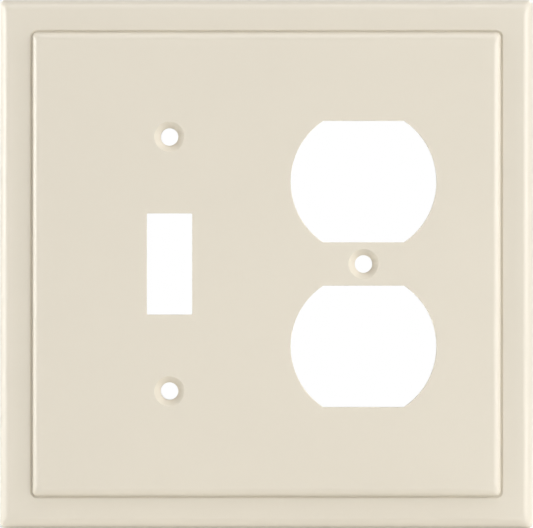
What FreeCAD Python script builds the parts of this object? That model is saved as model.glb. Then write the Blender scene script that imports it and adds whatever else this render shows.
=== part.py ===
"""Two-gang combination wall plate: one toggle switch opening beside one duplex receptacle opening.

A moulded cover, hollow behind, that hides a two-gang electrical box. Its face has two tiers: a flat border
with a rounded outer edge, and a raised panel that climbs out of a fine groove over a rounded shoulder. Three
countersunk holes take oval-head machine screws. The three screws lie in the hollow back under a strip of
tape, which is how the plate is supplied.

Frame: X to the right, Z up, Y into the wall. The origin is the centre of the plate on the wall plane (Y = 0)
and the face looks along -Y. Every piece is modelled lying face up, with X and Y in the plane of the plate and
Z as the height above the wall plane, and is stood up when it is written. Lengths are in millimetres.
"""

import FreeCAD
import Part
import math
import os

V = FreeCAD.Vector

# ---- Driving dimensions -----------------------------------------------------------------------------------

# Outline and the two tiers of the face
PLATE_WIDTH = 126.5
PLATE_HEIGHT = 125.4
PLATE_DEPTH = 8.6  # wall plane to the raised panel
BORDER_DEPTH = 7.0  # wall plane to the flat border
CORNER_R = 1.1  # corners seen from the front, on both tiers
OUTER_EDGE = (2.6, 3.2)  # run and rise of the rounding at the outline
SHOULDER = (1.9, 1.9)  # run and rise of the rounding round the raised panel

# Groove between border and panel, as insets from the outline
GROOVE_INSET = 7.3
PANEL_INSET = 7.75
GROOVE_DEPTH = 0.35  # below the border
GROOVE_CORNER_R = 1.5
LIP_R = 0.2  # rounding of the border where it falls into the groove

# Shell
SKIRT = 1.9  # thickness of the side walls
FRONT_WALL = 1.7  # thickness behind the panel
BORDER_WALL = 1.6  # thickness behind the groove
HOLLOW_CORNER_R = 0.8
HOLLOW_EDGE = (0.8, 0.8)

# Standard wiring-device pattern
GANG_PITCH = 46.04
TOGGLE_SCREW_PITCH = 60.325
TOGGLE_WIDTH = 10.8
TOGGLE_HEIGHT = 24.0
TOGGLE_CORNER_R = 0.3
OUTLET_R = 17.3
OUTLET_HEIGHT = 28.8  # between the flats of one opening
OUTLET_PITCH = 39.1
SCREW_HOLE_R = 2.1
SINK_R = 3.6  # countersink at the face
SINK_ANGLE = 82.0  # included angle
EDGE_BREAK = 0.15  # softened front edges of the openings

# Moulded detail of the hollow side
BOSS_R = 4.3
BOSS_TIP_R = 3.7
STRAP_GAP = 1.8  # room left between a boss and the wall for the device's mounting strap
COLLAR = 1.2
TOGGLE_COLLAR_HEIGHT = 3.0
OUTLET_COLLAR_HEIGHT = 2.2
RIB = 1.0
RIB_HEIGHT = 2.2
CROSS_RIB_Y = 43.0
GUSSET = 0.9
GUSSET_HEIGHT = 2.0
GUSSETS_PER_SIDE = 7
GATE_R = 0.9
GATE_HEIGHT = 0.3
GATE_PLACE = (-11.5, 8.0)

# Marks that the mould's ejector pins leave on the hollow's floor
PIN_MARK_R = 1.5
PIN_MARK_DEPTH = 0.12
PIN_SIDE_X = 47.0  # columns near the two sides
PIN_MIDDLE_X = -10.5
PIN_INNER_Y = 37.5  # rows inside the cross ribs
PIN_OUTER_Y = 48.5  # rows outside the cross ribs
PIN_PAIR_Y = 6.0  # two between the receptacle openings and the side

# Oval-head slotted machine screw, size 6 by 32 threads per inch, 5/8 inch long
THREAD_R = 1.75
ROOT_R = 1.33
THREAD_PITCH = 25.4 / 32
CREST_SHARE = 0.16  # flat top of a thread as a share of its pitch
SCREW_LENGTH = 15.875  # tip to the widest part of the head
HEAD_R = 3.35
HEAD_LAND = 0.15
DOME_HEIGHT = 1.1
NECK = 0.8  # plain length under the head
TIP = 0.5
TIP_R = 0.9
SLOT_WIDTH = 1.1
SLOT_DEPTH = 1.45

# Where the screws lie behind the panel
SCREW_CLEARANCE = 0.05
SCREW_TIP_X = -33.8
SCREW_LAY = (  # height up the plate, yaw and roll in degrees
    (8.2, 2.5, 25.0),
    (0.0, -1.5, 70.0),
    (-8.0, 1.0, -40.0),
)

# Strip of tape over the screws
TAPE_WIDTH = 12.0
TAPE_THICKNESS = 0.25
TAPE_CENTRE_X = -41.5
TAPE_REACH = 24.0  # half its length up and down the plate
TAPE_CLEARANCE = 0.12
TAPE_SLOPE = 3.2  # run of the slope from the panel up to the outer screws

# ---- Values that follow -----------------------------------------------------------------------------------

TOGGLE_X = -GANG_PITCH / 2
OUTLET_X = GANG_PITCH / 2
PANEL_BACK = PLATE_DEPTH - FRONT_WALL  # height of the hollow's floor behind the panel
BORDER_BACK = BORDER_DEPTH - GROOVE_DEPTH - BORDER_WALL
PANEL_HOLLOW_INSET = PANEL_INSET + SHOULDER[0]
SCREW_HOLES = (
    (TOGGLE_X, TOGGLE_SCREW_PITCH / 2),
    (TOGGLE_X, -TOGGLE_SCREW_PITCH / 2),
    (OUTLET_X, 0.0),
)
OUTLET_CENTRES = ((OUTLET_X, OUTLET_PITCH / 2), (OUTLET_X, -OUTLET_PITCH / 2))
WELL_UNDER = 1.0  # how far a cutting solid starts below, or ends above, what it cuts


# ---- Basic shapes -----------------------------------------------------------------------------------------


def rounded_outline(width, height, radius, z, x=0.0, y=0.0):
    """Closed wire of a rectangle with rounded corners, centred on (x, y) at height z."""
    corner = math.sqrt(0.5) * radius
    edges = []
    ends = []
    for sx, sy in ((1, -1), (1, 1), (-1, 1), (-1, -1)):
        cx, cy = x + sx * (width / 2 - radius), y + sy * (height / 2 - radius)
        along_x, along_y = V(cx + sx * radius, cy, z), V(cx, cy + sy * radius, z)
        first, last = (along_x, along_y) if sx * sy > 0 else (along_y, along_x)
        edges.append(Part.Arc(first, V(cx + sx * corner, cy + sy * corner, z), last).toShape())
        ends.append((first, last))
    for here, after in zip(ends, ends[1:] + ends[:1]):
        edges.append(Part.makeLine(here[1], after[0]))
    return Part.Wire(Part.__sortEdges__(edges))


def slab(width, height, radius, z_low, z_high, x=0.0, y=0.0):
    """Upright block with rounded corners and sharp rims."""
    face = Part.Face(rounded_outline(width, height, radius, z_low, x, y))
    return face.extrude(V(0, 0, z_high - z_low))


def patch(plan, profile):
    """Face swept by a plan curve along a profile.

    plan holds (x, y, inward x, inward y, weight) poles and profile holds (inset, height, weight) poles.
    """
    poles = [[V(x + ix * inset, y + iy * inset, z) for inset, z, _ in profile] for x, y, ix, iy, _ in plan]
    weights = [[w * v for _, _, v in profile] for *_, w in plan]
    surface = Part.BSplineSurface()
    surface.buildFromPolesMultsKnots(
        poles, [len(plan)] * 2, [len(profile)] * 2, [0, 1], [0, 1], False, False,
        len(plan) - 1, len(profile) - 1, weights,
    )
    return surface.toShape()


def pillow(width, height, z_low, z_high, corner_r, edge):
    """Block with rounded corners and a rounded top rim, whose run and rise may each be more than corner_r."""
    half = math.sqrt(0.5)
    run, rise = edge
    wall = [(0, z_low, 1), (0, z_high - rise, 1)]
    rim = [(0, z_high - rise, 1), (0, z_high, half), (run, z_high, 1)]
    corners = []
    for sx, sy in ((1, -1), (1, 1), (-1, 1), (-1, -1)):
        cx, cy = sx * (width / 2 - corner_r), sy * (height / 2 - corner_r)
        poles = [(corner_r, 0, 1), (corner_r, corner_r, half), (0, corner_r, 1)]
        if sx * sy < 0:
            poles.reverse()
        corners.append([(cx + sx * dx, cy + sy * dy, -sx, -sy, w) for dx, dy, w in poles])
    plans = []
    for here, after in zip(corners, corners[1:] + corners[:1]):
        plans += [here, [here[-1], after[0]]]
    faces = [patch(plan, profile) for plan in plans for profile in (wall, rim)]
    faces.append(Part.Face(rounded_outline(width, height, corner_r, z_low)))
    faces.append(Part.Face(rounded_outline(width - 2 * run, height - 2 * run, corner_r, z_high)))
    shell = Part.makeShell(faces)
    shell.sewShape()
    solid = Part.makeSolid(shell)
    if solid.Volume < 0:
        solid.reverse()
    return solid


def outlet_outline(x, y, z, grow=0.0):
    """Closed wire of a receptacle opening: a circle cut off by two level flats."""
    radius, flat = OUTLET_R + grow, OUTLET_HEIGHT / 2 + grow
    chord = math.sqrt(radius**2 - flat**2)
    right = [V(x + chord, y - flat, z), V(x + radius, y, z), V(x + chord, y + flat, z)]
    left = [V(x - chord, y + flat, z), V(x - radius, y, z), V(x - chord, y - flat, z)]
    edges = [
        Part.Arc(*right).toShape(),
        Part.makeLine(right[-1], left[0]),
        Part.Arc(*left).toShape(),
        Part.makeLine(left[-1], right[0]),
    ]
    return Part.Wire(edges)


def exact_box(shape):
    """Bounding box that hugs curved faces."""
    return shape.optimalBoundingBox(False, False)


# ---- Wall plate -------------------------------------------------------------------------------------------


def plate_face():
    """Solid two-tier body, before it is hollowed."""
    border = pillow(PLATE_WIDTH, PLATE_HEIGHT, 0, BORDER_DEPTH, CORNER_R, OUTER_EDGE)
    well = slab(
        PLATE_WIDTH - 2 * GROOVE_INSET, PLATE_HEIGHT - 2 * GROOVE_INSET, GROOVE_CORNER_R,
        BORDER_DEPTH - GROOVE_DEPTH, BORDER_DEPTH + WELL_UNDER,
    )
    border = border.cut(well)
    lip = [e for e in border.Edges if on_lip(e)]
    border = border.makeFillet(LIP_R, lip)
    panel = pillow(
        PLATE_WIDTH - 2 * PANEL_INSET, PLATE_HEIGHT - 2 * PANEL_INSET,
        BORDER_BACK, PLATE_DEPTH, CORNER_R, SHOULDER,
    )
    return border.fuse(panel)


def on_lip(edge):
    """True for an edge of the border's flat that runs round the groove."""
    box = edge.BoundBox
    level = abs(box.ZMin - BORDER_DEPTH) < 1e-6 and abs(box.ZMax - BORDER_DEPTH) < 1e-6
    inside_x = max(abs(box.XMin), abs(box.XMax)) < PLATE_WIDTH / 2 - OUTER_EDGE[0] - 1
    inside_y = max(abs(box.YMin), abs(box.YMax)) < PLATE_HEIGHT / 2 - OUTER_EDGE[0] - 1
    return level and inside_x and inside_y


def hollow():
    """Space behind the face: one depth behind the border and a greater one behind the panel."""
    behind_border = pillow(
        PLATE_WIDTH - 2 * SKIRT, PLATE_HEIGHT - 2 * SKIRT, -WELL_UNDER, BORDER_BACK,
        HOLLOW_CORNER_R, HOLLOW_EDGE,
    )
    behind_panel = pillow(
        PLATE_WIDTH - 2 * PANEL_HOLLOW_INSET, PLATE_HEIGHT - 2 * PANEL_HOLLOW_INSET,
        -WELL_UNDER, PANEL_BACK, HOLLOW_CORNER_R, HOLLOW_EDGE,
    )
    return behind_border.fuse(behind_panel)


def openings():
    """Cutting solids of the switch opening and the two receptacle openings."""
    depth = PLATE_DEPTH + 2 * WELL_UNDER
    cutters = [
        slab(TOGGLE_WIDTH, TOGGLE_HEIGHT, TOGGLE_CORNER_R, -WELL_UNDER, depth - WELL_UNDER, TOGGLE_X)
    ]
    for x, y in OUTLET_CENTRES:
        cutters.append(Part.Face(outlet_outline(x, y, -WELL_UNDER)).extrude(V(0, 0, depth)))
    return cutters


def countersunk_hole(x, y):
    """Cutting solid of one screw hole with its countersink."""
    slope = math.tan(math.radians(SINK_ANGLE / 2))
    sink_depth = (SINK_R - SCREW_HOLE_R) / slope
    bore = Part.makeCylinder(SCREW_HOLE_R, PLATE_DEPTH + 2 * WELL_UNDER, V(x, y, -WELL_UNDER))
    sink = Part.makeCone(
        SCREW_HOLE_R, SINK_R + WELL_UNDER * slope, sink_depth + WELL_UNDER,
        V(x, y, PLATE_DEPTH - sink_depth),
    )
    return bore.fuse(sink)


def rib(x0, y0, x1, y1, thickness, height, floor=PANEL_BACK):
    """Straight rib standing on the hollow's floor, from (x0, y0) to (x1, y1)."""
    along = V(x1 - x0, y1 - y0, 0)
    across = V(-along.y, along.x, 0).normalize() * (thickness / 2)
    start, end = V(x0, y0, floor - height), V(x1, y1, floor - height)
    outline = Part.makePolygon([start + across, start - across, end - across, end + across, start + across])
    return Part.Face(outline).extrude(V(0, 0, height + FRONT_WALL / 2))


def panel_ribs():
    """Ribs behind the panel: two across the plate, one up its middle and short ones that tie the bosses in."""
    half_x = PLATE_WIDTH / 2 - PANEL_HOLLOW_INSET + FRONT_WALL / 2
    half_y = PLATE_HEIGHT / 2 - PANEL_HOLLOW_INSET + FRONT_WALL / 2
    middle = (TOGGLE_X + TOGGLE_WIDTH / 2 + COLLAR + OUTLET_X - OUTLET_R - COLLAR) / 2
    ribs = [rib(-half_x, y, half_x, y, RIB, RIB_HEIGHT) for y in (-CROSS_RIB_Y, CROSS_RIB_Y)]
    ribs.append(rib(middle, -half_y, middle, half_y, RIB, RIB_HEIGHT))
    outlet_top = OUTLET_PITCH / 2 + OUTLET_HEIGHT / 2
    for side in (-1, 1):
        boss = side * TOGGLE_SCREW_PITCH / 2
        ribs.append(rib(TOGGLE_X, side * TOGGLE_HEIGHT / 2, TOGGLE_X, side * half_y, RIB, RIB_HEIGHT))
        ribs.append(rib(TOGGLE_X, boss, middle, boss, RIB, RIB_HEIGHT))
        ribs.append(rib(OUTLET_X, side * outlet_top, OUTLET_X, side * half_y, RIB, RIB_HEIGHT))
    ribs.append(rib(middle, 0, OUTLET_X, 0, RIB, RIB_HEIGHT))
    ribs.append(rib(OUTLET_X, 0, half_x, 0, RIB, RIB_HEIGHT))
    return ribs


def border_gussets():
    """Short ribs between the skirt and the step, evenly spaced on each side."""
    outer_x, outer_y = PLATE_WIDTH / 2 - SKIRT / 2, PLATE_HEIGHT / 2 - SKIRT / 2
    inner_x = PLATE_WIDTH / 2 - PANEL_HOLLOW_INSET
    inner_y = PLATE_HEIGHT / 2 - PANEL_HOLLOW_INSET
    gussets = []
    for n in range(GUSSETS_PER_SIDE):
        share = (n + 0.5) / GUSSETS_PER_SIDE - 0.5
        x, y = share * 2 * inner_x, share * 2 * inner_y
        for side in (-1, 1):
            gussets.append(rib(side * inner_x, y, side * outer_x, y, GUSSET, GUSSET_HEIGHT, BORDER_BACK))
            gussets.append(rib(x, side * inner_y, x, side * outer_y, GUSSET, GUSSET_HEIGHT, BORDER_BACK))
    return gussets


def collars_and_bosses():
    """Raised rims round the openings and a tapered boss behind each screw hole."""
    root = PANEL_BACK + FRONT_WALL / 2
    low = PANEL_BACK - TOGGLE_COLLAR_HEIGHT
    width, height = TOGGLE_WIDTH + 2 * COLLAR, TOGGLE_HEIGHT + 2 * COLLAR
    shapes = [slab(width, height, TOGGLE_CORNER_R + COLLAR, low, root, TOGGLE_X)]
    low = PANEL_BACK - OUTLET_COLLAR_HEIGHT
    for x, y in OUTLET_CENTRES:
        shapes.append(Part.Face(outlet_outline(x, y, low, COLLAR)).extrude(V(0, 0, root - low)))
    for x, y in SCREW_HOLES:
        shapes.append(Part.makeCone(BOSS_TIP_R, BOSS_R, root - STRAP_GAP, V(x, y, STRAP_GAP)))
    return shapes


def pin_marks():
    """Shallow discs left by the ejector pins on the hollow's floor."""
    places = (
        (-PIN_SIDE_X, PIN_INNER_Y), (-PIN_SIDE_X, PIN_OUTER_Y),
        (PIN_SIDE_X, PIN_INNER_Y), (PIN_SIDE_X, PIN_OUTER_Y),
        (PIN_SIDE_X, PIN_PAIR_Y), (PIN_MIDDLE_X, PIN_INNER_Y), (0, PIN_OUTER_Y),
    )
    low = PANEL_BACK + PIN_MARK_DEPTH - WELL_UNDER
    return [Part.makeCylinder(PIN_MARK_R, WELL_UNDER, V(x, side * y, low))
            for x, y in places for side in (-1, 1)]


def on_opening_front(edge):
    """True for a front edge of an opening, but not of a screw hole."""
    box = edge.BoundBox
    level = abs(box.ZMin - PLATE_DEPTH) < 1e-6 and abs(box.ZMax - PLATE_DEPTH) < 1e-6
    inside = max(abs(box.XMin), abs(box.XMax)) < PLATE_WIDTH / 2 - PANEL_HOLLOW_INSET - 1
    round_hole = edge.isClosed()
    return level and inside and not round_hole


def wall_plate():
    shell = plate_face().cut(hollow())
    gate = Part.makeCylinder(GATE_R, GATE_HEIGHT + FRONT_WALL / 2, V(*GATE_PLACE, PANEL_BACK - GATE_HEIGHT))
    added = panel_ribs() + border_gussets() + collars_and_bosses() + [gate]
    plate = shell.cut(Part.makeCompound(pin_marks())).multiFuse(added)
    plate = plate.cut(Part.makeCompound(openings() + [countersunk_hole(x, y) for x, y in SCREW_HOLES]))
    plate = plate.removeSplitter()
    plate = plate.makeFillet(EDGE_BREAK, [e for e in plate.Edges if on_opening_front(e)])
    return plate


# ---- Screws -----------------------------------------------------------------------------------------------


def screw_outline():
    """Half section of the screw in the XZ plane, from the tip up its thread to the start of the head's dome."""
    slope = math.tan(math.radians(SINK_ANGLE / 2))
    cone_start = SCREW_LENGTH - (HEAD_R - THREAD_R) / slope
    points = [V(0, 0, 0), V(TIP_R, 0, 0), V(ROOT_R, 0, TIP)]
    turns = int((cone_start - NECK - TIP) / THREAD_PITCH)
    for turn in range(turns):
        root = TIP + turn * THREAD_PITCH
        points.append(V(THREAD_R, 0, root + THREAD_PITCH * (1 - CREST_SHARE) / 2))
        points.append(V(THREAD_R, 0, root + THREAD_PITCH * (1 + CREST_SHARE) / 2))
        points.append(V(ROOT_R, 0, root + THREAD_PITCH))
    points += [V(THREAD_R, 0, points[-1].z + THREAD_R - ROOT_R), V(THREAD_R, 0, cone_start)]
    return points + [V(HEAD_R, 0, SCREW_LENGTH), V(HEAD_R, 0, SCREW_LENGTH + HEAD_LAND)]


def screw():
    """Oval-head slotted machine screw along +Z, with its tip at the origin and its thread drawn as rings."""
    outline = screw_outline()
    dome_r = (HEAD_R**2 + DOME_HEIGHT**2) / (2 * DOME_HEIGHT)
    dome_top = V(0, 0, outline[-1].z + DOME_HEIGHT)
    half_angle = math.asin(HEAD_R / dome_r) / 2
    dome_middle = V(dome_r * math.sin(half_angle), 0, dome_top.z - dome_r * (1 - math.cos(half_angle)))
    edges = [Part.makeLine(a, b) for a, b in zip(outline, outline[1:])]
    edges.append(Part.Arc(outline[-1], dome_middle, dome_top).toShape())
    edges.append(Part.makeLine(dome_top, outline[0]))
    turned = Part.Face(Part.Wire(edges)).revolve(V(0, 0, 0), V(0, 0, 1), 360)
    slot = Part.makeBox(
        3 * HEAD_R, SLOT_WIDTH, SLOT_DEPTH + WELL_UNDER,
        V(-1.5 * HEAD_R, -SLOT_WIDTH / 2, dome_top.z - SLOT_DEPTH),
    )
    return turned.cut(slot)


def lay_in_hollow(shape, y, yaw, roll):
    """Lays a screw on the hollow's floor, its tip at SCREW_TIP_X and its head towards the nearer side."""
    lean = math.degrees(math.asin((HEAD_R - THREAD_R) / (SCREW_LENGTH - TIP)))
    laid = shape.copy()
    laid.rotate(V(0, 0, 0), V(0, 0, 1), roll)
    laid.rotate(V(0, 0, 0), V(0, 1, 0), -90 - lean)
    laid.rotate(V(0, 0, 0), V(0, 0, 1), yaw)
    laid.translate(V(SCREW_TIP_X, y, 0))
    laid.translate(V(0, 0, PANEL_BACK - SCREW_CLEARANCE - exact_box(laid).ZMax))
    return laid


# ---- Tape -------------------------------------------------------------------------------------------------


def tape(screws):
    """Strip that runs up the plate over the three screws and lies flat on the hollow's floor at both ends."""
    under = PANEL_BACK - SCREW_CLEARANCE
    x_low, x_high = TAPE_CENTRE_X - TAPE_WIDTH / 2, TAPE_CENTRE_X + TAPE_WIDTH / 2
    window = Part.makeBox(TAPE_WIDTH, 4 * TAPE_REACH, 2 * PLATE_DEPTH, V(x_low, -2 * TAPE_REACH, -PLATE_DEPTH))
    boxes = [exact_box(s.common(window)) for s in screws]
    back = min(b.ZMin for b in boxes) - TAPE_CLEARANCE
    low, high = min(b.YMin for b in boxes) - TAPE_CLEARANCE, max(b.YMax for b in boxes) + TAPE_CLEARANCE
    points = []
    for depth, widen in ((0, 0), (TAPE_THICKNESS, TAPE_THICKNESS)):
        foot_low, foot_high = low - TAPE_SLOPE - widen, high + TAPE_SLOPE + widen
        side = [(-TAPE_REACH, under), (foot_low, under), (low - widen / 2, back),
                (high + widen / 2, back), (foot_high, under), (TAPE_REACH, under)]
        side = [V(x_low, y, z - depth) for y, z in side]
        points += reversed(side) if depth else side
    return Part.Face(Part.makePolygon(points + points[:1])).extrude(V(x_high - x_low, 0, 0))


# ---- Writing ----------------------------------------------------------------------------------------------


def stand_up(shape):
    """Turns a piece from lying face up to hanging on the wall, with its face towards -Y."""
    stood = shape.copy()
    stood.rotate(V(0, 0, 0), V(1, 0, 0), 90)
    return stood


def main():
    os.makedirs("parts", exist_ok=True)
    one_screw = screw()
    screws = [lay_in_hollow(one_screw, *place) for place in SCREW_LAY]
    pieces = {"wall_plate": wall_plate(), "screw_tape": tape(screws)}
    for name, laid in zip(("screw_1", "screw_2", "screw_3"), screws):
        pieces[name] = laid
    for name, shape in pieces.items():
        if not shape.isValid() or len(shape.Solids) != 1:
            raise ValueError(f"{name} is not one valid solid")
        stand_up(shape).exportStep(f"parts/{name}.step")
        box = exact_box(shape)
        print(f"{name}: {shape.Volume:.1f} mm3, {box.XLength:.2f} x {box.YLength:.2f} x {box.ZLength:.2f}")


main()
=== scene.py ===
"""Studio scene of a two-gang combination wall plate and the screws taped in its hollow back.

Axes are those of the part: X to the right, Y into the wall, Z up, in metres. A screw is made along Z and then
laid in the hollow as its CAD solid lies. The tape is pulled over the screws where they lie.
"""

import math

import bmesh
import bpy
import numpy as np
from mathutils import Matrix, Vector, noise


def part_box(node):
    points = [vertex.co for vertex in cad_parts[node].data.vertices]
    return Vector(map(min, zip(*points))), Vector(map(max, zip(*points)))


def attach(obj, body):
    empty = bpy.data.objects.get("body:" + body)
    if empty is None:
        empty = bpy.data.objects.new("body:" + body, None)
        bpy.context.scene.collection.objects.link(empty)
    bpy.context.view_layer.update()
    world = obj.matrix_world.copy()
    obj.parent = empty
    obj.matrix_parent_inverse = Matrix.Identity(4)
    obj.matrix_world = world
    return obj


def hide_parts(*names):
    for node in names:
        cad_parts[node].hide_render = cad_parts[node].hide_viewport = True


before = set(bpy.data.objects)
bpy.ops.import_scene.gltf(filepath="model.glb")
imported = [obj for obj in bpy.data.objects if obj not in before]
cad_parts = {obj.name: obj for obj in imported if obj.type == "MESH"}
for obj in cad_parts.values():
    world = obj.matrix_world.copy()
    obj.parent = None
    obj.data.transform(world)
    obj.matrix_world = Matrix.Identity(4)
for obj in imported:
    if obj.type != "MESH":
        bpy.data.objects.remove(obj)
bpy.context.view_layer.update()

MM = 0.001

# ---- Dimensions taken from the frame --------------------------------------------------------------------

PLATE_LOW, PLATE_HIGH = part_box("wall_plate")
PLATE_WIDTH = PLATE_HIGH.x - PLATE_LOW.x
TAPE_LOW, TAPE_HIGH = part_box("screw_tape")
HOLLOW_FLOOR = -TAPE_LOW.y  # height of the hollow's floor above the wall plane

# ---- Picture --------------------------------------------------------------------------------------------

PICTURE_TO_PLATE = 1.00339  # width of the picture over width of the plate
LENS = 500.0  # long, because the view is straight on and shows no perspective
SENSOR = 36.0
CAMERA_CLIP = (0.1, 20.0)
CAMERA_DISTANCE = PLATE_WIDTH * PICTURE_TO_PLATE * LENS / SENSOR

# ---- Screw: size 6 by 32 threads per inch ---------------------------------------------------------------

SCREW_NODES = ("screw_1", "screw_2", "screw_3")
SCREW_YAW = (2.5, -1.5, 1.0)  # degrees about the height
SCREW_ROLL = (25.0, 70.0, -40.0)  # degrees about the screw's own axis
THREAD_R = 1.75 * MM
ROOT_R = 1.33 * MM
THREAD_PITCH = 25.4 / 32 * MM
CREST_SHARE = 0.16  # flat top of a thread as a share of its pitch
SCREW_LENGTH = 15.875 * MM  # tip to the widest part of the head
HEAD_R = 3.35 * MM
HEAD_LAND = 0.15 * MM
DOME_HEIGHT = 1.1 * MM
SINK_ANGLE = math.radians(82)  # included angle of the head's cone
HEAD_EDGE = 0.06 * MM  # bevel between the head's cone and its land
CONE_START = SCREW_LENGTH - (HEAD_R - THREAD_R) / math.tan(SINK_ANGLE / 2)
SCREW_TOP = SCREW_LENGTH + HEAD_LAND + DOME_HEIGHT
NECK = 0.8 * MM  # plain length under the head
THREAD_END = CONE_START - NECK
RUNOUT = 0.3 * MM  # slope from the last thread's root up to the neck
TIP = 0.5 * MM
TIP_R = 0.9 * MM
TIP_EDGE = 0.08 * MM
TIP_EDGE_R = 0.85 * TIP_R
SLOT_WIDTH = 1.1 * MM
SLOT_DEPTH = 1.45 * MM
SLOT_CUTTER_HEIGHT = 2.0 * MM
SCREW_SEGMENTS = 64
ROWS_PER_TURN = 12
DOME_ROWS = 15
SCREW_CREASE = 32  # degrees between faces above which an edge is sharp

# ---- Tape -----------------------------------------------------------------------------------------------

TAPE_THICKNESS = 0.14 * MM
TAPE_LIFT = 0.07 * MM  # gap kept between the tape and the thread crests
TAPE_ANCHOR = 3.4 * MM  # run of the slope from the floor up to an outer screw
TAPE_SAG = 0.5  # how far the tape is pressed in between screws, 0 taut and 1 fully
PRESSED_SHARE = 0.6  # height kept between screws where it is pressed in fully
TAPE_GRID = 0.3 * MM
TAPE_PASSES = 8  # rounds of smoothing
TAPE_TOOTH = 1.6 * MM  # pitch of the teeth left by the dispenser's cutter
TAPE_TOOTH_DEPTH = 0.55 * MM
TAPE_TOOTH_ZONE = 0.04  # share of each half of the strip that is drawn into the teeth
TAPE_RIPPLE = 0.05 * MM
TAPE_RIPPLE_SCALE = 420  # ripples in a metre
STUCK_RISE = 0.3 * MM  # rise up to which the tape is stuck to the floor
STUCK_RIPPLE = 0.3  # share of the ripple left where it is stuck
TAPE_CREASE = 50  # degrees between faces above which an edge is sharp

STAND_UP = Matrix.Rotation(math.radians(90), 4, "X")  # from lying face up to hanging on the wall


# ---- Material helpers -----------------------------------------------------------------------------------

# Places of a Mix node's first input, second input and result, for each kind of value it mixes
MIX_SOCKETS = {"FLOAT": (2, 3, 0), "RGBA": (6, 7, 2)}


class Material:
    """Node material with one Principled shader and short calls that add nodes to it."""

    def __init__(self, name):
        self.material = bpy.data.materials.new(name)
        self.material.use_nodes = True
        self.nodes = self.material.node_tree.nodes
        self.links = self.material.node_tree.links
        self.shader = self.nodes["Principled BSDF"]
        self.place = self.nodes.new("ShaderNodeTexCoord").outputs["Object"]

    def add(self, kind, inputs=None, **settings):
        """New node with its settings and inputs, where an input is a value or another node's output."""
        node = self.nodes.new(kind)
        for key, value in settings.items():
            setattr(node, key, value)
        for key, value in (inputs or {}).items():
            self.feed(node.inputs[key], value)
        return node

    def feed(self, socket, value):
        """Links a socket to another node's output, or sets it to a value."""
        if isinstance(value, bpy.types.NodeSocket):
            self.links.new(value, socket)
        else:
            socket.default_value = value

    def set(self, **inputs):
        """Feeds the shader's inputs; an underscore stands for a space."""
        for key, value in inputs.items():
            self.feed(self.shader.inputs[key.replace("_", " ")], value)

    def noise(self, scale, detail=3.0, stretch=(1, 1, 1), roughness=0.5):
        """Noise with the given number of features per metre."""
        place = self.place
        if stretch != (1, 1, 1):
            place = self.add("ShaderNodeMapping", {"Vector": place, "Scale": stretch}).outputs["Vector"]
        inputs = {"Vector": place, "Scale": scale, "Detail": detail, "Roughness": roughness}
        return self.add("ShaderNodeTexNoise", inputs).outputs["Fac"]

    def spread(self, value, low, high, from_low=0.3, from_high=0.7):
        """Maps a value onto low to high; most noise lies from 0.3 to 0.7."""
        inputs = {"Value": value, "From Min": from_low, "From Max": from_high, "To Min": low, "To Max": high}
        return self.add("ShaderNodeMapRange", inputs).outputs["Result"]

    def mix(self, factor, first, second, kind="RGBA"):
        """Goes from the first to the second, which are colours, or numbers if kind is FLOAT."""
        node = self.add("ShaderNodeMix", {"Factor": factor}, data_type=kind)
        first_socket, second_socket, result = MIX_SOCKETS[kind]
        self.feed(node.inputs[first_socket], first)
        self.feed(node.inputs[second_socket], second)
        return node.outputs[result]

    def multiply(self, first, second):
        node = self.add("ShaderNodeMath", operation="MULTIPLY")
        self.feed(node.inputs[0], first)
        self.feed(node.inputs[1], second)
        return node.outputs["Value"]

    def bump(self, height, distance, strength=1.0, normal=None):
        """Normal that rises and falls by distance with the height, over another normal if one is given."""
        node = self.add("ShaderNodeBump", {"Height": height, "Distance": distance, "Strength": strength})
        if normal is not None:
            self.feed(node.inputs["Normal"], normal)
        return node.outputs["Normal"]


def shade(tone, colour):
    """Colour with every channel multiplied by tone."""
    return tuple(tone * c for c in colour) + (1.0,)


# ---- Materials ------------------------------------------------------------------------------------------

ALMOND = (0.765, 0.708, 0.600)
CREPE = (0.78, 0.63, 0.36)
ZINC = (0.70, 0.71, 0.74)
WARM_ZINC = (0.72, 0.72, 0.70)


def plate_plastic():
    """Light almond plastic: satin gloss on the face, duller where the mould's core formed the hollow."""
    m = Material("light_almond_plastic")
    drift = m.spread(m.noise(14, 2), 0, 1)
    grain = m.spread(m.noise(2600, 2), 0, 1)
    colour = m.mix(drift, shade(0.99, ALMOND), shade(1.005, ALMOND))
    colour = m.mix(m.multiply(grain, 0.25), colour, shade(0.98, ALMOND))
    facing = m.add("ShaderNodeSeparateXYZ", {"Vector": m.add("ShaderNodeNewGeometry").outputs["Normal"]})
    core_side = m.spread(facing.outputs["Y"], 0, 1, 0.2, 0.6)
    face_gloss = m.spread(m.noise(60, 2), 0.28, 0.32)
    core_gloss = m.spread(m.noise(500, 4), 0.46, 0.58)
    gloss = m.mix(core_side, face_gloss, core_gloss, "FLOAT")
    peel = m.bump(m.noise(420, 1), 0.0012 * MM)
    m.set(Base_Color=colour, Roughness=gloss, Normal=m.bump(m.noise(6000, 3), 0.001 * MM, normal=peel))
    return m.material


def screw_paint():
    """Baked enamel on the screw's head, in the plate's colour."""
    m = Material("almond_enamel")
    colour = m.mix(m.spread(m.noise(700, 3), 0, 1), shade(0.96, ALMOND), shade(1.0, ALMOND))
    m.set(Base_Color=colour, Roughness=m.spread(m.noise(1500, 3), 0.16, 0.26))
    m.set(Normal=m.bump(m.noise(2500, 2), 0.006 * MM), Coat_Weight=0.4, Coat_Roughness=0.12)
    return m.material


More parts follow.
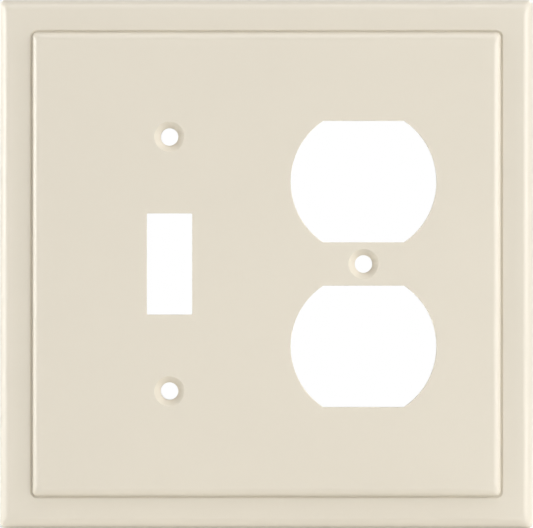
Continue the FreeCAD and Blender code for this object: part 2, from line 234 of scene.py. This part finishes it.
def screw_zinc():
    """Bright zinc plating on the screw's shank, with faint clouding and rolling marks."""
    m = Material("zinc_plated_steel")
    cloud = m.spread(m.noise(900, 4), 0, 1)
    colour = m.mix(cloud, shade(0.9, ZINC), shade(1.06, WARM_ZINC))
    m.set(Base_Color=colour, Metallic=1.0, Roughness=m.spread(m.noise(3000, 4), 0.22, 0.38))
    m.set(Normal=m.bump(m.noise(5000, 3), 0.004 * MM))
    return m.material


def tape_paper():
    """Creped masking paper: fine wrinkles across the strip, and a straw colour mottled with painted shade in
    the wrinkles' hollows and painted highlight on their ridges.
    """
    m = Material("creped_paper")
    crepe = m.noise(900, 4, stretch=(0.25, 1, 1.6), roughness=0.6)
    fibre = m.noise(5000, 3, stretch=(1, 1, 0.3))
    # Painted shade and highlight: the colour is darker where the crepe's bump dips and lighter where it rises.
    colour = m.mix(m.spread(crepe, 0, 1), shade(0.9, CREPE), shade(1.06, CREPE))
    colour = m.mix(m.multiply(m.spread(fibre, 0, 1), 0.3), colour, shade(1.15, CREPE))
    m.set(Base_Color=colour, Roughness=m.spread(crepe, 0.62, 0.78))
    m.set(Normal=m.bump(crepe, 0.05 * MM, 0.9, m.bump(fibre, 0.01 * MM)), Sheen_Weight=0.15)
    return m.material


# ---- Mesh helpers ---------------------------------------------------------------------------------------


def object_from(name, vertices, faces, materials):
    """New mesh object in the scene."""
    mesh = bpy.data.meshes.new(name)
    mesh.from_pydata(vertices, [], faces)
    for material in materials:
        mesh.materials.append(material)
    made = bpy.data.objects.new(name, mesh)
    bpy.context.scene.collection.objects.link(made)
    return made


def apply_modifiers(made):
    """Writes the modified mesh into the object and drops its modifiers."""
    bpy.context.view_layer.update()
    evaluated = made.evaluated_get(bpy.context.evaluated_depsgraph_get())
    mesh = bpy.data.meshes.new_from_object(evaluated)
    made.modifiers.clear()
    made.data = mesh


def smooth(made, angle):
    """Smooth shading with sharp edges above the angle, in degrees."""
    made.data.shade_smooth()
    made.data.set_sharp_from_angle(angle=math.radians(angle))


# ---- Screws ---------------------------------------------------------------------------------------------


def screw_rows():
    """Rows of the screw's surface from tip to dome, as (height, radius, share of thread)."""
    rows = [(0.0, TIP_EDGE_R, 0.0), (TIP_EDGE, TIP_R, 0.0)]
    count = round((THREAD_END - TIP) / THREAD_PITCH * ROWS_PER_TURN)
    for n in range(count + 1):
        share = n / count
        fade = min(1.0, share * count / ROWS_PER_TURN, (1 - share) * count / ROWS_PER_TURN)
        rows.append((TIP + share * (THREAD_END - TIP), ROOT_R, fade))
    rows += [(THREAD_END + RUNOUT, THREAD_R, 0.0), (CONE_START, THREAD_R, 0.0)]
    rows += [(SCREW_LENGTH - HEAD_EDGE, HEAD_R - HEAD_EDGE, 0.0), (SCREW_LENGTH, HEAD_R, 0.0)]
    rows.append((SCREW_LENGTH + HEAD_LAND, HEAD_R, 0.0))
    dome_r = (HEAD_R**2 + DOME_HEIGHT**2) / (2 * DOME_HEIGHT)
    widest = math.asin(HEAD_R / dome_r)
    for n in range(1, DOME_ROWS):
        angle = widest * (1 - n / DOME_ROWS)
        rows.append((SCREW_TOP - dome_r * (1 - math.cos(angle)), dome_r * math.sin(angle), 0.0))
    return rows


def thread_height(turns):
    """Height of the thread between its root, 0, and its crest, 1, at a number of turns."""
    from_crest = abs(turns % 1.0 - 0.5) * 2
    return min(1.0, (1 - from_crest) / (1 - CREST_SHARE))


def make_screw(name, paint, zinc):
    """Screw along +Z with its tip at the origin, a helical thread and a driver slot."""
    rows = screw_rows()
    vertices, faces = [], []
    for height, radius, share in rows:
        for n in range(SCREW_SEGMENTS):
            turn = n / SCREW_SEGMENTS
            r = radius + (THREAD_R - ROOT_R) * share * thread_height(height / THREAD_PITCH - turn)
            vertices.append((r * math.cos(math.tau * turn), r * math.sin(math.tau * turn), height))
    for row in range(len(rows) - 1):
        for n in range(SCREW_SEGMENTS):
            here, beside = row * SCREW_SEGMENTS + n, row * SCREW_SEGMENTS + (n + 1) % SCREW_SEGMENTS
            faces.append((here, beside, beside + SCREW_SEGMENTS, here + SCREW_SEGMENTS))
    for centre, row, turned in (((0, 0, 0), 0, True), ((0, 0, SCREW_TOP), len(rows) - 1, False)):
        vertices.append(centre)
        for n in range(SCREW_SEGMENTS):
            a, b = row * SCREW_SEGMENTS + n, row * SCREW_SEGMENTS + (n + 1) % SCREW_SEGMENTS
            faces.append((b, a, len(vertices) - 1) if turned else (a, b, len(vertices) - 1))
    screw = object_from(name, vertices, faces, [paint, zinc])
    for face in screw.data.polygons:
        face.material_index = 0 if face.center.z > CONE_START else 1
    cut_slot(screw)
    smooth(screw, SCREW_CREASE)
    return screw


def cut_slot(screw):
    """Cuts the driver slot across the head."""
    half = Vector((2 * HEAD_R, SLOT_WIDTH / 2, SLOT_CUTTER_HEIGHT / 2))
    centre = Vector((0, 0, SCREW_TOP - SLOT_DEPTH + half.z))
    mesh = bpy.data.meshes.new("slot_cutter")
    form = bmesh.new()
    bmesh.ops.create_cube(form, size=2.0, matrix=Matrix.Translation(centre) @ Matrix.Diagonal((*half, 1)))
    form.to_mesh(mesh)
    form.free()
    cutter = bpy.data.objects.new("slot_cutter", mesh)
    bpy.context.scene.collection.objects.link(cutter)
    modifier = screw.modifiers.new("slot", "BOOLEAN")
    modifier.object = cutter
    modifier.solver = "EXACT"
    apply_modifiers(screw)
    bpy.data.objects.remove(cutter)


def lay_screw(screw, node, yaw, roll):
    """Turns a screw as its CAD solid lies, and centres it on that solid's box."""
    lean = math.asin((HEAD_R - THREAD_R) / (SCREW_LENGTH - TIP))
    turn = Matrix.Rotation(math.radians(yaw), 4, "Z") @ Matrix.Rotation(-math.radians(90) - lean, 4, "Y")
    screw.data.transform(STAND_UP @ turn @ Matrix.Rotation(math.radians(roll), 4, "Z"))
    corners = [Vector(c) for c in screw.bound_box]
    low = Vector(min(c[i] for c in corners) for i in range(3))
    high = Vector(max(c[i] for c in corners) for i in range(3))
    cad_low, cad_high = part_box(node)
    screw.data.transform(Matrix.Translation((cad_low + cad_high - low - high) / 2))


def make_screws():
    """The three screws, each in the place of its CAD solid."""
    paint, zinc = screw_paint(), screw_zinc()
    screws = []
    for node, yaw, roll in zip(SCREW_NODES, SCREW_YAW, SCREW_ROLL):
        screw = make_screw("painted_" + node, paint, zinc)
        lay_screw(screw, node, yaw, roll)
        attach(screw, "screw_pack")
        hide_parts(node)
        screws.append(screw)
    return screws


# ---- Tape -----------------------------------------------------------------------------------------------


def upper_hull(points):
    """Points of the upper convex hull of (along, rise) points, from left to right."""
    hull = []
    for p in sorted(points):
        while len(hull) > 1:
            (x0, y0), (x1, y1) = hull[-2], hull[-1]
            if (x1 - x0) * (p[1] - y0) - (y1 - y0) * (p[0] - x0) < 0:
                break
            hull.pop()
        hull.append(p)
    return hull


def crest_rise(crests, along):
    """Highest screw point beside each place along the tape, and 0 where there is none."""
    highest = np.zeros(len(along) + 1)
    np.maximum.at(highest, np.digitize(crests[:, 0], along), crests[:, 1])
    return np.maximum(highest[:-1], highest[1:])


def tape_profile(crests, along):
    """Rise of the tape above the floor at the places along it, over the screws' (along, rise) points."""
    low, high = crests[:, 0].min(), crests[:, 0].max()
    anchors = [(along[0], 0.0), (low - TAPE_ANCHOR, 0.0), (high + TAPE_ANCHOR, 0.0), (along[-1], 0.0)]
    middle = [tuple(p) for p in crests] + anchors[1:3]
    hull = [anchors[0]] + upper_hull(middle) + [anchors[3]]
    taut = np.interp(along, [p[0] for p in hull], [p[1] for p in hull])
    pressed = np.maximum(crest_rise(crests, along), PRESSED_SHARE * taut)
    inside = (along > low) & (along < high)
    return np.where(inside, (1 - TAPE_SAG) * taut + TAPE_SAG * pressed, taut)


def soften(grid, lowest):
    """Smooths a grid of heights without going under the lowest allowed, and leaves its border as it is."""
    for _ in range(TAPE_PASSES):
        ring = grid[:-2, 1:-1] + grid[2:, 1:-1] + grid[1:-1, :-2] + grid[1:-1, 2:]
        grid[1:-1, 1:-1] = grid[1:-1, 1:-1] / 2 + ring / 8
        grid = np.maximum(grid, lowest)
    return grid


def tape_rise(screws, xs, zs):
    """Grid of the tape's rises above the floor at the places across it, xs, and along it, zs."""
    points = np.array([v.co for s in screws for v in s.data.vertices])
    rise, lowest = np.zeros((2, len(xs), len(zs)))
    for n, x in enumerate(xs):
        near = points[abs(points[:, 0] - x) < THREAD_PITCH / 2]
        crests = np.stack([near[:, 2], near[:, 1] + HOLLOW_FLOOR], axis=1)
        rise[n], lowest[n] = tape_profile(crests, zs), crest_rise(crests, zs)
    return soften(rise, lowest)


def tape_point(x, z, end, rise):
    """Point of the tape, rippled and cut into teeth; end is 0 at the strip's middle and 1 at its ends."""
    tooth = abs((x / TAPE_TOOTH) % 1.0 - 0.5) * 2 * TAPE_TOOTH_DEPTH
    z_cut = z - math.copysign(tooth * max(0.0, end - 1 + TAPE_TOOTH_ZONE) / TAPE_TOOTH_ZONE, z)
    ripple = abs(noise.noise(Vector((x, 0, z)) * TAPE_RIPPLE_SCALE) * TAPE_RIPPLE)
    lift = TAPE_LIFT + (ripple if rise > STUCK_RISE else STUCK_RIPPLE * ripple)
    return x, -HOLLOW_FLOOR + rise + lift, z_cut


def make_tape(screws):
    """Strip of paper tape pulled over the screws and stuck to the hollow's floor at both ends."""
    columns = round((TAPE_HIGH.x - TAPE_LOW.x) / TAPE_GRID)
    rows = round((TAPE_HIGH.z - TAPE_LOW.z) / TAPE_GRID)
    xs = np.linspace(TAPE_LOW.x, TAPE_HIGH.x, columns + 1)
    zs = np.linspace(TAPE_LOW.z, TAPE_HIGH.z, rows + 1)
    rise = tape_rise(screws, xs, zs)
    vertices = [tape_point(x, z, abs(j / rows - 0.5) * 2, rise[i, j])
                for i, x in enumerate(xs) for j, z in enumerate(zs)]
    faces = []
    for i in range(columns):
        for j in range(rows):
            a = i * (rows + 1) + j
            faces.append((a, a + 1, a + rows + 2, a + rows + 1))
    tape = object_from("paper_tape", vertices, faces, [tape_paper()])
    modifier = tape.modifiers.new("thickness", "SOLIDIFY")
    modifier.thickness = TAPE_THICKNESS
    modifier.offset = 1.0
    apply_modifiers(tape)
    smooth(tape, TAPE_CREASE)
    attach(tape, "screw_pack")
    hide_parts("screw_tape")


# ---- Plate ----------------------------------------------------------------------------------------------


def finish_plate():
    """Gives the CAD plate its plastic."""
    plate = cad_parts["wall_plate"]
    material = plate_plastic()
    for slot in plate.material_slots:
        slot.material = material


# ---- Studio ---------------------------------------------------------------------------------------------

FLOOR_RADIUS = 1.15  # inside the lamps, so that no floor lies behind one
FLOOR_SIDES = 96
FLOOR_GAP = 0.05 * MM  # room between the floor and the plate that stands on it
FLOOR_GLOW = 0.22  # the pale floor is a shooting table, lit a little from below
FRONT_AMBIENT = 0.1  # strength of the world's light from in front of the wall plane
REAR_AMBIENT = 0.2  # and from behind it
AMBIENT_TURN = (0.1, 0.8)  # share of Y in a direction over which the one gives way to the other

# Name, azimuth and elevation in degrees, distance, width and height in metres, and power in watts.
# Azimuth 0 is the camera's side and 90 the right. Places, sizes, the ambient levels and the two rear lamps'
# powers were chosen. The other powers and FLOOR_GLOW came from a least-squares fit to the photograph's
# brightness on the face, the edges and the countersinks.
LIGHTS = (
    ("key_softbox", 50, 40, 3.0, 1.6, 1.5, 17.7),
    ("high_softbox", 35, 60, 1.8, 1.0, 0.9, 3.1),
    ("top_softbox", 0, 70, 1.5, 1.2, 0.6, 6.3),
    ("right_inner_strip", 38, 0, 2.4, 0.16, 2.0, 6.4),
    ("right_front_strip", 55, 0, 2.4, 0.16, 2.0, 22.0),
    ("right_strip", 72, 0, 1.2, 0.08, 1.0, 5.1),
    ("left_strip", -72, 0, 1.2, 0.08, 1.0, 4.5),
    ("left_softbox", -91, 0, 1.2, 0.5, 1.0, 12.7),
    ("rear_key_softbox", 140, 42, 1.5, 0.5, 0.4, 9.0),
    ("rear_fill_softbox", -145, 15, 1.5, 0.9, 0.7, 3.0),
)


def around(azimuth, elevation, distance):
    """Point at a distance from the origin; azimuth 0 is in front of the face and 90 to its right."""
    a, e = math.radians(azimuth), math.radians(elevation)
    return distance * Vector((math.sin(a) * math.cos(e), -math.cos(a) * math.cos(e), math.sin(e)))


def make_lights():
    """Area lamps that aim at the plate's middle and aren't seen by the camera."""
    for name, azimuth, elevation, distance, width, height, power in LIGHTS:
        light = bpy.data.lights.new(name, "AREA")
        light.shape = "RECTANGLE"
        light.size, light.size_y, light.energy = width, height, power
        lamp = bpy.data.objects.new(name, light)
        lamp.location = around(azimuth, elevation, distance)
        lamp.rotation_mode = "QUATERNION"
        lamp.rotation_quaternion = (-lamp.location).to_track_quat("-Z", "Y")
        lamp.visible_camera = False
        bpy.context.scene.collection.objects.link(lamp)


def make_world():
    """White backdrop for the camera, and for the rest a grey light, stronger from behind the wall plane."""
    world = bpy.data.worlds.new("studio")
    world.use_nodes = True
    nodes, links = world.node_tree.nodes, world.node_tree.links
    nodes.clear()
    direction = nodes.new("ShaderNodeSeparateXYZ")
    links.new(nodes.new("ShaderNodeTexCoord").outputs["Generated"], direction.inputs[0])
    level = nodes.new("ShaderNodeMapRange")
    level.interpolation_type = "SMOOTHSTEP"
    levels = (*AMBIENT_TURN, FRONT_AMBIENT, REAR_AMBIENT)
    for name, value in zip(("From Min", "From Max", "To Min", "To Max"), levels):
        level.inputs[name].default_value = value
    links.new(direction.outputs["Y"], level.inputs["Value"])
    seen, ambient = nodes.new("ShaderNodeBackground"), nodes.new("ShaderNodeBackground")
    for shader in (seen, ambient):
        shader.inputs["Color"].default_value = (1, 1, 1, 1)
    links.new(level.outputs["Result"], ambient.inputs["Strength"])
    mix, output = nodes.new("ShaderNodeMixShader"), nodes.new("ShaderNodeOutputWorld")
    links.new(nodes.new("ShaderNodeLightPath").outputs["Is Camera Ray"], mix.inputs["Fac"])
    links.new(ambient.outputs[0], mix.inputs[1])
    links.new(seen.outputs[0], mix.inputs[2])
    links.new(mix.outputs[0], output.inputs["Surface"])
    bpy.context.scene.world = world


def make_floor():
    """Round pale floor under the plate."""
    turns = [math.tau * n / FLOOR_SIDES for n in range(FLOOR_SIDES)]
    z = PLATE_LOW.z - FLOOR_GAP
    rim = [(FLOOR_RADIUS * math.cos(turn), FLOOR_RADIUS * math.sin(turn), z) for turn in turns]
    m = Material("pale_floor")
    m.set(Base_Color=m.mix(m.noise(6, 2), (0.78, 0.78, 0.77, 1), (0.81, 0.81, 0.8, 1)), Roughness=0.8)
    m.set(Emission_Color=(1, 1, 1, 1), Emission_Strength=FLOOR_GLOW)
    object_from("floor", rim, [tuple(range(FLOOR_SIDES))], [m.material])


def make_camera():
    """Straight on, and so far away that the rim of the plate on the wall plane fits the picture."""
    camera = bpy.data.objects.new("camera", bpy.data.cameras.new("camera"))
    camera.data.lens, camera.data.sensor_width = LENS, SENSOR
    camera.data.clip_start, camera.data.clip_end = CAMERA_CLIP
    camera.location = (0, PLATE_HIGH.y - CAMERA_DISTANCE, 0)
    camera.rotation_euler = (math.radians(90), 0, 0)
    bpy.context.scene.collection.objects.link(camera)
    bpy.context.scene.camera = camera


def main():
    bpy.context.scene.view_settings.view_transform = "Standard"
    bpy.context.scene.view_settings.look = "None"
    make_camera()
    make_world()
    make_lights()
    make_floor()
    finish_plate()
    make_tape(make_screws())


main()
